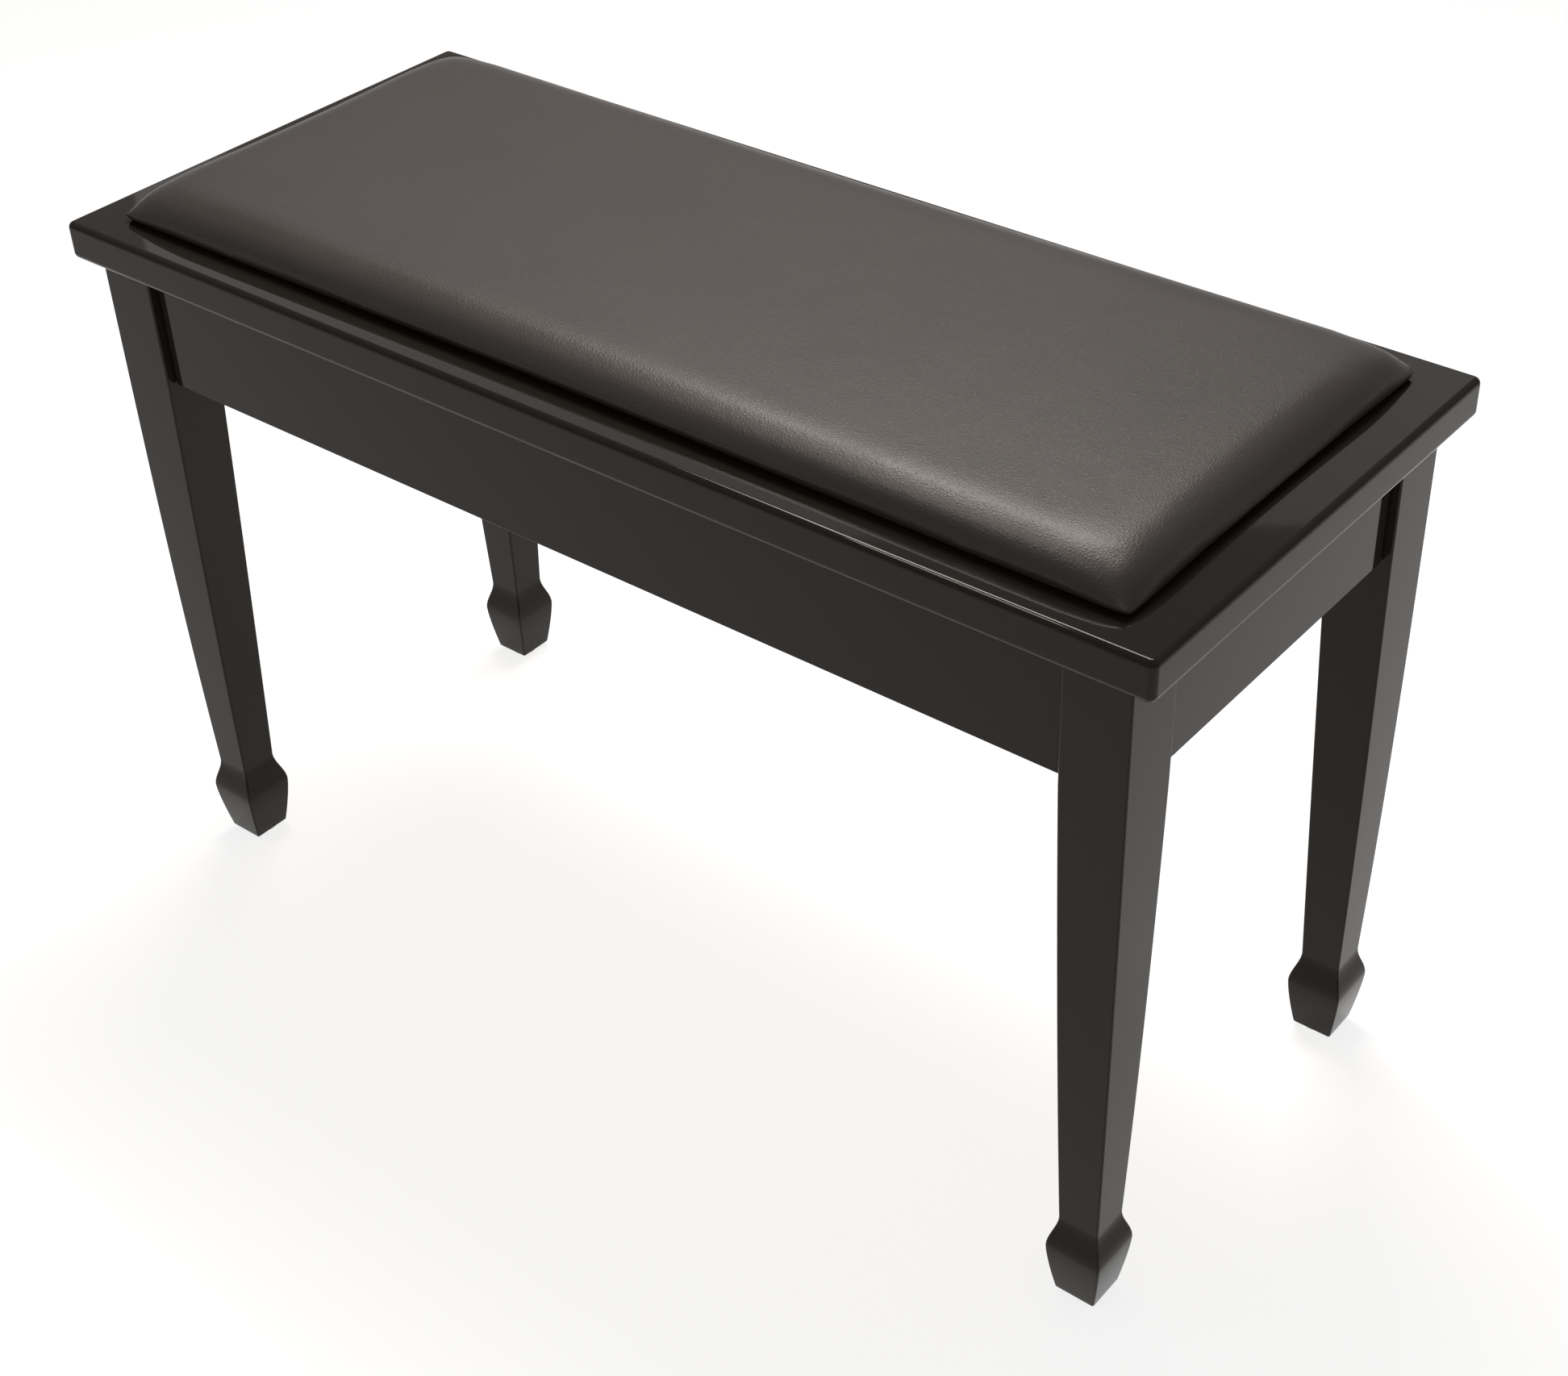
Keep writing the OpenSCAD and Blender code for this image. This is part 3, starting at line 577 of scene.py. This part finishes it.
def cross_head_screw(wide, shank, length):
    """A countersunk screw pointing down, with the face of its head at the origin."""
    drop, point = (wide - shank) / 2, shank
    bpy.ops.object.select_all(action="DESELECT")
    bpy.ops.mesh.primitive_cone_add(vertices=32, radius1=shank / 2, radius2=wide / 2,
                                    depth=drop, location=(0, 0, -drop / 2))
    screw = bpy.context.object
    settle()
    edit(screw)
    pick("faces", lambda f: f.normal.z < -mostly)
    for down in (length - drop - point, point):
        bpy.ops.mesh.extrude_region_move(TRANSFORM_OT_translate={"value": (0, 0, -down)})
    bpy.ops.transform.resize(value=(tip_share, tip_share, 1), center_override=(0, 0, -length))
    leave_edit()
    for turn in (0, 90):
        bpy.ops.object.select_all(action="DESELECT")
        bpy.ops.mesh.primitive_cube_add(size=1)
        blade = bpy.context.object
        blade.scale = blade_share * wide
        blade.rotation_euler.z = math.radians(turn)
        settle()
        cut_with(screw, blade)
    ease(screw, rim_share * wide, steps=2,
         test=lambda e: all(v.co.z > -hair and v.co.xy.length > 0.49 * wide for v in e.verts))
    return screw


# %% Copy the screws to their places
screw_finish = {"hinge_screws_apron": "hinge_brass", "hinge_screws_lid": "hinge_brass",
                "pad_screws": "zinc_steel", "rail_screws": "zinc_steel",
                "bracket_screws": "zinc_steel", "floor_screws": "zinc_steel",
                "corner_block_screws": "zinc_steel"}
driven_turn = math.radians(37)
screw_sets = {}
for node in screw_finish:
    models, copies = {}, []
    for i, (centre, outward, wide, shank, length) in enumerate(measured_screws(node)):
        size = round(wide, 5), round(shank, 5), round(length, 5)
        if size not in models:
            models[size] = cross_head_screw(wide, shank, length)
        alone(models[size])
        bpy.ops.object.duplicate()
        one = bpy.context.object
        facing = outward.to_track_quat("Z", "Y").to_matrix().to_4x4()
        driven = Matrix.Rotation(driven_turn * i, 4, "Z")
        one.matrix_world = Matrix.Translation(centre) @ facing @ driven
        copies.append(one)
    for model in models.values():
        bpy.data.objects.remove(model)
    joined = join(copies)
    joined.name = joined.data.name = node + "_crossed"
    polish(joined, angle=30)
    screw_sets[node] = joined
    print(node, len(copies), "screws,", triangles(joined), "triangles")

# %% [markdown]
# ## Finishes
# A finish is a Principled shader with patterns that vary it. The patterns read
# Object coordinates, in metres, so their grain keeps its real size. Anything that is
# the same all over is set on the shader itself.

# %% Starting a finish
def new_finish(name, colour, roughness, metallic=0.0, gloss=0.5):
    made = bpy.data.materials.new(name)
    made.use_nodes = True
    shader = made.node_tree.nodes["Principled BSDF"]
    shader.inputs["Base Color"].default_value = (*colour, 1)
    shader.inputs["Roughness"].default_value = roughness
    shader.inputs["Metallic"].default_value = metallic
    shader.inputs["Specular IOR Level"].default_value = gloss
    return made, shader


def add_node(made, kind, inputs=None, **settings):
    node = made.node_tree.nodes.new(kind)
    for key, value in settings.items():
        setattr(node, key, value)
    for key, value in (inputs or {}).items():
        if hasattr(value, "is_output"):
            made.node_tree.links.new(value, node.inputs[key])
        else:
            node.inputs[key].default_value = value
    return node


def grain_space(made, stretch=(1, 1, 1)):
    place = add_node(made, "ShaderNodeTexCoord")
    return add_node(made, "ShaderNodeMapping",
                    {"Vector": place.outputs["Object"], "Scale": stretch}).outputs["Vector"]


def noise(made, space, scale, detail, rough=0.5):
    return add_node(made, "ShaderNodeTexNoise",
                    {"Vector": space, "Scale": scale, "Detail": detail,
                     "Roughness": rough}).outputs["Fac"]


def vary(made, source, socket, low, high):
    """Drive a shader value from a pattern, between two values."""
    spread = add_node(made, "ShaderNodeMapRange",
                      {"Value": source, "From Min": 0.3, "From Max": 0.7,
                       "To Min": low, "To Max": high})
    made.node_tree.links.new(spread.outputs["Result"], socket)


def tint(made, source, socket, dark, light):
    """Drive a colour from a pattern, between two colours."""
    ramp = add_node(made, "ShaderNodeValToRGB", {"Fac": source})
    ramp.color_ramp.elements[0].position = 0.3
    ramp.color_ramp.elements[0].color = (*dark, 1)
    ramp.color_ramp.elements[1].position = 0.7
    ramp.color_ramp.elements[1].color = (*light, 1)
    made.node_tree.links.new(ramp.outputs["Color"], socket)


def relief(made, shader, source, strength, depth, under=None):
    """Raise and sink the surface with a pattern, on top of another relief if given."""
    bump = add_node(made, "ShaderNodeBump",
                    {"Height": source, "Strength": strength, "Distance": depth})
    if under is not None:
        made.node_tree.links.new(under, bump.inputs["Normal"])
    made.node_tree.links.new(bump.outputs["Normal"], shader.inputs["Normal"])
    return bump.outputs["Normal"]


def glow(shader, colour, strength):
    shader.inputs["Emission Color"].default_value = (*colour, 1)
    shader.inputs["Emission Strength"].default_value = strength


# %% [markdown]
# ### Black lacquer
# Polished lacquer is nearly black and shows the room softly. Its surface is not
# perfectly flat: it has a faint ripple, and hands leave it slightly duller in places.

# %% Black lacquer
lacquer, shader = new_finish("black_lacquer", (0.014, 0.0115, 0.0095), 0.04, gloss=0.14)
shader.inputs["Specular Tint"].default_value = (1, 0.96, 0.92, 1)
space = grain_space(lacquer)
vary(lacquer, noise(lacquer, space, scale=9, detail=4),
     shader.inputs["Roughness"], low=0.03, high=0.06)
relief(lacquer, shader, noise(lacquer, space, scale=60, detail=2), strength=0.02, depth=0.0004)

# %% [markdown]
# ### Vinyl
# The cover is embossed with a fine leather grain: small rounded cells with creases
# between them. A Voronoi pattern gives the cells, and noise breaks up their size.

# %% Vinyl cover
vinyl, shader = new_finish("vinyl_cover", (0.031, 0.026, 0.023), 0.39, gloss=0.30)
shader.inputs["Specular Tint"].default_value = (1, 0.95, 0.91, 1)
space = grain_space(vinyl)
wander = noise(vinyl, space, scale=300, detail=2)
cells = add_node(vinyl, "ShaderNodeTexVoronoi", {"Vector": space, "Scale": 480.0},
                 feature="DISTANCE_TO_EDGE")
grain = add_node(vinyl, "ShaderNodeMath", {0: cells.outputs["Distance"], 1: wander},
                 operation="MULTIPLY")
soft = relief(vinyl, shader, noise(vinyl, space, scale=45, detail=3),
              strength=0.10, depth=0.002)
relief(vinyl, shader, grain.outputs["Value"], strength=0.45, depth=0.0008, under=soft)
vary(vinyl, noise(vinyl, space, scale=14, detail=4),
     shader.inputs["Roughness"], low=0.36, high=0.41)
tint(vinyl, noise(vinyl, space, scale=6, detail=3), shader.inputs["Base Color"],
     dark=(0.027, 0.0225, 0.0195), light=(0.033, 0.0275, 0.0245))

# %% [markdown]
# ### Plain woods
# Inside the box the wood is bare. Grain is noise stretched along the piece, so each
# direction of grain needs its own copy of the finish.

# %% Bare wood and plywood
def bare_wood(name, dark, light, stretch):
    made, shader = new_finish(name, light, 0.6, gloss=0.3)
    space = grain_space(made, stretch)
    lines = noise(made, space, scale=90, detail=6, rough=0.6)
    tint(made, lines, shader.inputs["Base Color"], dark, light)
    vary(made, lines, shader.inputs["Roughness"], low=0.5, high=0.7)
    relief(made, shader, noise(made, space, scale=300, detail=4), strength=0.2, depth=0.0005)
    return made


pale, honey = (0.62, 0.45, 0.27), (0.42, 0.28, 0.15)
wood_along_x = bare_wood("plain_wood_long", honey, pale, (0.08, 1, 1))
wood_along_y = bare_wood("plain_wood_cross", honey, pale, (1, 0.08, 1))
plywood = bare_wood("plywood", (0.33, 0.21, 0.12), (0.48, 0.33, 0.20), (0.06, 0.7, 1))

# %% [markdown]
# ### Metals
# The hinge is brass-plated and brushed along its length. The stays, bolts and
# screws are zinc-plated, which is paler and slightly mottled.

# %% Brass and zinc
brass, shader = new_finish("hinge_brass", (0.53, 0.37, 0.15), 0.36, metallic=1.0)
space = grain_space(brass, (0.05, 1, 1))
vary(brass, noise(brass, space, scale=900, detail=3),
     shader.inputs["Roughness"], low=0.30, high=0.44)
tint(brass, noise(brass, grain_space(brass), scale=60, detail=4), shader.inputs["Base Color"],
     dark=(0.46, 0.31, 0.12), light=(0.58, 0.42, 0.18))
relief(brass, shader, noise(brass, space, scale=900, detail=3), strength=0.08, depth=0.0002)

zinc, shader = new_finish("zinc_steel", (0.60, 0.60, 0.59), 0.36, metallic=1.0)
space = grain_space(zinc)
vary(zinc, noise(zinc, space, scale=420, detail=3),
     shader.inputs["Roughness"], low=0.28, high=0.45)
tint(zinc, noise(zinc, space, scale=150, detail=4), shader.inputs["Base Color"],
     dark=(0.52, 0.53, 0.54), light=(0.66, 0.66, 0.64))
relief(zinc, shader, noise(zinc, space, scale=1400, detail=2), strength=0.06, depth=0.0002)

# %% [markdown]
# ### Felt, foam and nylon
# Felt is a mat of fibres, foam is full of small pores, and the glides are nylon.

# %% Felt, foam and nylon
felt_cloth, shader = new_finish("felt", (0.035, 0.035, 0.035), 0.95, gloss=0.1)
space = grain_space(felt_cloth)
tint(felt_cloth, noise(felt_cloth, space, scale=1500, detail=4), shader.inputs["Base Color"],
     dark=(0.02, 0.02, 0.02), light=(0.06, 0.06, 0.06))
relief(felt_cloth, shader, noise(felt_cloth, space, scale=2200, detail=5),
       strength=0.6, depth=0.0006)

foam_block, shader = new_finish("foam", (0.80, 0.74, 0.52), 0.9, gloss=0.1)
space = grain_space(foam_block)
pores = add_node(foam_block, "ShaderNodeTexVoronoi", {"Vector": space, "Scale": 700.0})
tint(foam_block, pores.outputs["Distance"], shader.inputs["Base Color"],
     dark=(0.60, 0.54, 0.34), light=(0.82, 0.76, 0.55))
relief(foam_block, shader, pores.outputs["Distance"], strength=0.5, depth=0.001)

nylon, shader = new_finish("nylon", (0.80, 0.78, 0.73), 0.42, gloss=0.4)
space = grain_space(nylon)
vary(nylon, noise(nylon, space, scale=250, detail=3),
     shader.inputs["Roughness"], low=0.36, high=0.52)
relief(nylon, shader, noise(nylon, space, scale=600, detail=3), strength=0.08, depth=0.0003)

# %% [markdown]
# ## Give every piece its finish and its place to ride
# A new piece is hung on the body that it moves with and gets the material for the record's
# finish, and the solid that it stands for is hidden. The solids that stay visible only get a
# finish in their slots.

# %% Finish the new pieces
by_slot = {"hinge_brass": brass, "zinc_steel": zinc, "nylon": nylon, "plywood": plywood,
           "plain_wood": wood_along_x, "black_lacquer": lacquer, "vinyl_cover": vinyl,
           "foam": foam_block, "felt": felt_cloth}


def dress(piece, body, stands_for, slot):
    piece.data.materials.clear()
    piece.data.materials.append(by_slot[slot])
    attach(piece, body)
    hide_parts(*stands_for)


dress(lid_board, "lid", ["lid_panel"], "black_lacquer")
for apron in aprons:
    dress(apron, "frame", ["apron_" + apron.name.rsplit("_", 1)[1]], "black_lacquer")
for place, turned in legs.items():
    dress(turned, "frame", ["leg_" + place], "black_lacquer")
dress(pad, "lid", ["seat_cover", "seat_foam"], "vinyl_cover")
for felt in felts:
    dress(felt, "frame", ["lid_felts"], "felt")
body_of = {node: body for body, nodes in frame["record"]["behaviour"]["bodies"].items()
           for node in nodes}
for node, screws in screw_sets.items():
    dress(screws, body_of[node], [node], screw_finish[node])
print("new pieces finished:", 1 + len(aprons) + len(legs) + 1 + len(felts) + len(screw_sets))

# %% Finish the solids that stay
for part in frame["record"]["subparts"]:
    made = by_slot[part["material_slot"]]
    if part["node"] in ("cleat_left", "cleat_right"):
        made = wood_along_y
    for slot in frame["nodes"][part["node"]].material_slots:
        slot.material = made

# %% [markdown]
# ## Floor, world and lamps
# White paper on the floor makes the plain background. A white card hangs behind the
# bench, out of the picture, where the lacquer on top of the lid can mirror it. The
# rest of the room is dim. One soft lamp up behind the bench lights the top of the pad
# and leaves its front slopes dark, which is what shows their shape. A small bright
# card overhead is seen only in reflections, where the lid's front edge mirrors it as
# a thin line of light.

# %% Floor and cards
def studio_plane(name, wide, long, made, place=(0, 0, 0), turned=(0, 0, 0)):
    """A flat sheet in the studio, which isn't part of the bench."""
    bpy.ops.object.select_all(action="DESELECT")
    bpy.ops.mesh.primitive_plane_add(size=1, location=place, rotation=turned)
    sheet = bpy.context.object
    sheet.name = name
    sheet.scale = (wide, long, 1)
    settle()
    sheet.data.materials.append(made)
    return sheet


paper, shader = new_finish("white_paper", (0.32, 0.32, 0.32), 0.9, gloss=0.1)
glow(shader, (1, 1, 1), 0.80)
studio_plane("studio_floor", 40, 40, paper)

behind = Vector((-math.sin(walked_round), math.cos(walked_round), 0))
card_away, card_low, card_tall, card_wide, card_right = 2.3, 1.45, 0.75, 3.1, 0.50
card_middle = Vector((0, 0, card_low + card_tall / 2))
studio_plane("studio_backdrop", card_wide, card_tall, paper,
             place=behind * card_away + level * card_right + card_middle,
             turned=(math.radians(90), 0, walked_round))

# %% Glint card
glint_light, shader = new_finish("glint_light", (0, 0, 0), 0.5)
glow(shader, (1, 0.97, 0.94), 16)
glint_card = studio_plane("glint_card", 0.30, 0.34, glint_light, place=(-0.44, -0.32, 1.87))
glint_card.visible_diffuse = False
glint_card.visible_camera = False

# %% World and lamp
world = bpy.data.worlds.new("studio")
scene.world = world
world.use_nodes = True
room = world.node_tree.nodes["Background"]
room.inputs["Color"].default_value = (1, 0.97, 0.94, 1)
room.inputs["Strength"].default_value = 0.38

aimed_at = Vector((0, 0, 0.45))
bpy.ops.object.light_add(type="AREA", location=(-0.42, 0.62, 1.9))
lamp = bpy.context.object
lamp.name = "overhead_lamp"
lamp.data.shape = "RECTANGLE"
lamp.data.size = 1.0
lamp.data.size_y = 0.44
lamp.data.energy = 30
lamp.data.color = (1, 0.955, 0.92)
lamp.rotation_euler = (aimed_at - lamp.location).to_track_quat("-Z", "Y").to_euler()
scene.view_settings.view_transform = "Standard"
